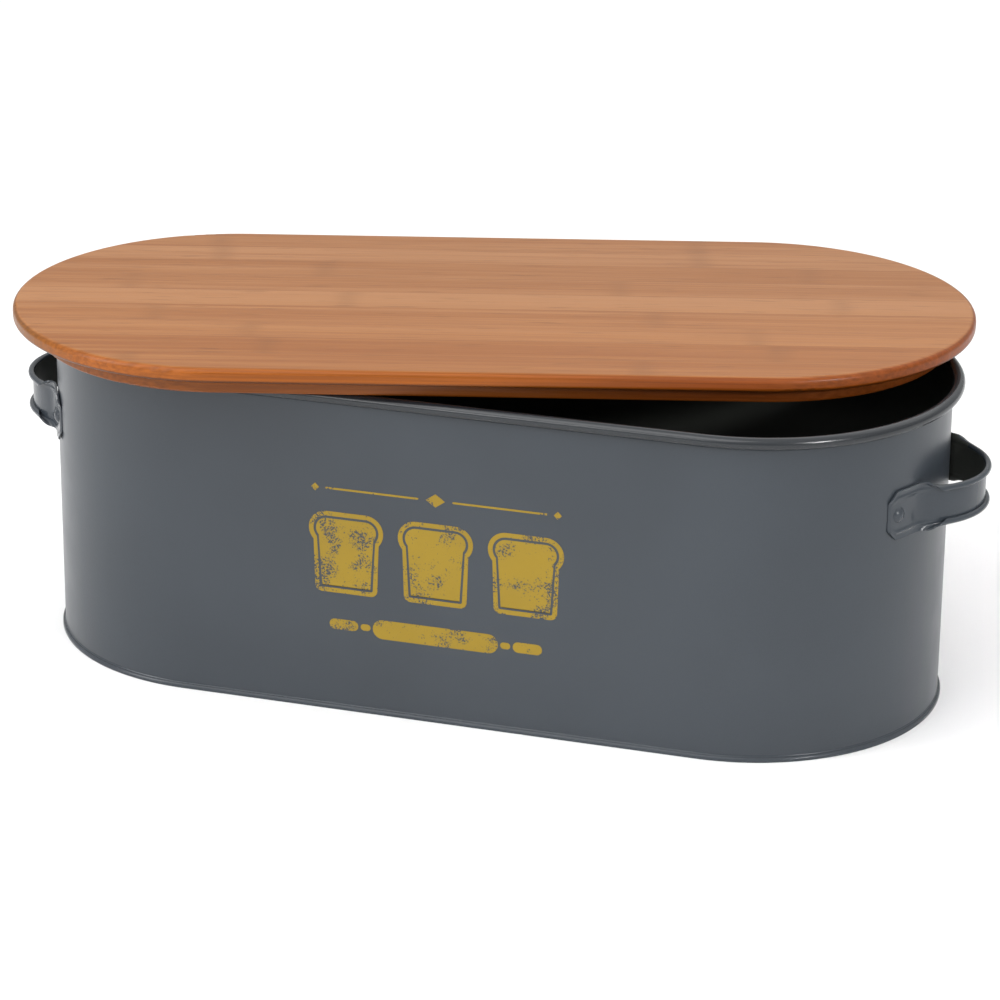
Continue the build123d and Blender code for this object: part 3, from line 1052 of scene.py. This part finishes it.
class BREADBIN_OT_set_stage(bpy.types.Operator):
    """Lay the floor, set the soft lights and place the camera"""

    bl_idname = "breadbin.set_stage"
    bl_label = "Set the stage"

    def execute(self, context):
        stage = context.scene.bread_bin.stage
        self.lay_floor(stage)
        self.light(context.scene, stage)
        self.place_camera(context.scene, stage)
        return {"FINISHED"}

    def lay_floor(self, stage):
        """A large white floor at the height of the table."""
        half = stage.floor_size / 2
        corners = [(-half, -half, 0), (half, -half, 0), (half, half, 0), (-half, half, 0)]
        mesh = bpy.data.meshes.new("floor")
        mesh.from_pydata(corners, [], [(0, 1, 2, 3)])
        finish = Finish("floor_white")
        cloud = finish.noise(finish.place, FLOOR_CLOUDS)
        white = finish.mix(cloud, *(tinted(stage.floor_white, tone) for tone in FLOOR_TONES))
        mesh.materials.append(finish.surface(white, stage.floor_roughness, stage.floor_mirror))
        floor = put("floor", mesh)

    def light(self, scene, stage):
        """A white surround that is brighter overhead, and the five lights."""
        world = bpy.data.worlds.new("white_surround")
        world.use_nodes = True
        nodes, links = world.node_tree.nodes, world.node_tree.links
        background = nodes["Background"]
        background.inputs["Color"].default_value = (1.0, 1.0, 1.0, 1.0)
        way = nodes.new("ShaderNodeTexCoord")
        parts = nodes.new("ShaderNodeSeparateXYZ")
        strength = nodes.new("ShaderNodeMapRange")
        strength.inputs["To Min"].default_value = stage.surround_low
        strength.inputs["To Max"].default_value = stage.surround_high
        links.new(way.outputs["Generated"], parts.inputs[0])
        links.new(parts.outputs[2], strength.inputs["Value"])
        links.new(strength.outputs[0], background.inputs["Strength"])
        scene.world = world
        scene.view_settings.view_transform = "Standard"
        middle = (0.0, 0.0, stage.look_up)
        soft_light("back_light", middle, stage.back_power)
        soft_light("top_light", middle, stage.top_power)
        soft_light("left_light", middle, stage.left_power)
        soft_light("front_glint", middle, stage.front_glint_power)
        soft_light("side_glint", RIGHT_END, stage.side_glint_power, stage.side_glint_spread)

    def place_camera(self, scene, stage):
        """The photograph's view, from the right of the front and above."""
        around, above = stage.camera_round, stage.camera_height
        level = math.cos(above)
        right = Vector((math.cos(around), math.sin(around), 0.0))
        back = Vector((math.sin(around) * level, -math.cos(around) * level, math.sin(above)))
        target = stage.look_right * right
        target.z = stage.look_up
        turned = Matrix.Rotation(stage.camera_roll, 3, back)
        axes = Matrix((turned @ right, turned @ back.cross(right), back)).transposed()
        camera = bpy.data.cameras.new("camera")
        camera.lens = stage.camera_lens
        camera.sensor_width = stage.camera_sensor
        holder = put("camera", camera)
        holder.matrix_world = Matrix.Translation(target + back * stage.camera_distance) @ axes.to_4x4()
        scene.camera = holder


OPERATORS = (
    BREADBIN_OT_bend_wall,
    BREADBIN_OT_fold_base,
    BREADBIN_OT_roll_handles,
    BREADBIN_OT_coat_rivets,
    BREADBIN_OT_print_front,
    BREADBIN_OT_grain_board,
    BREADBIN_OT_grain_plug,
    BREADBIN_OT_set_stage,
)


class BREADBIN_PT_finish(bpy.types.Panel):
    """The bread bin's pieces and their settings"""

    bl_idname = "BREADBIN_PT_finish"
    bl_label = "Bread bin"
    bl_space_type = "VIEW_3D"
    bl_region_type = "UI"
    bl_category = "Bread bin"

    def draw(self, context):
        for operator in OPERATORS:
            self.layout.operator(operator.bl_idname)
        for group_name in BreadBinSettings.bl_rna.properties.keys():
            group = getattr(context.scene.bread_bin, group_name, None)
            if isinstance(group, bpy.types.PropertyGroup):
                box = self.layout.box()
                box.label(text=group.__doc__)
                for key in group.__annotations__:
                    box.prop(group, key)


CLASSES = (
    SteelSettings,
    HandleSettings,
    PrintSettings,
    BambooSettings,
    StageSettings,
    BreadBinSettings,
    *OPERATORS,
    BREADBIN_PT_finish,
)


def register():
    for cls in CLASSES:
        bpy.utils.register_class(cls)
    bpy.types.Scene.bread_bin = PointerProperty(type=BreadBinSettings)


def unregister():
    del bpy.types.Scene.bread_bin
    for cls in reversed(CLASSES):
        bpy.utils.unregister_class(cls)


def main():
    register()
    bpy.ops.breadbin.bend_wall()
    bpy.ops.breadbin.fold_base()
    bpy.ops.breadbin.roll_handles()
    bpy.ops.breadbin.coat_rivets()
    bpy.ops.breadbin.print_front()
    bpy.ops.breadbin.grain_board()
    bpy.ops.breadbin.grain_plug()
    bpy.ops.breadbin.set_stage()


if __name__ == "__main__":
    main()
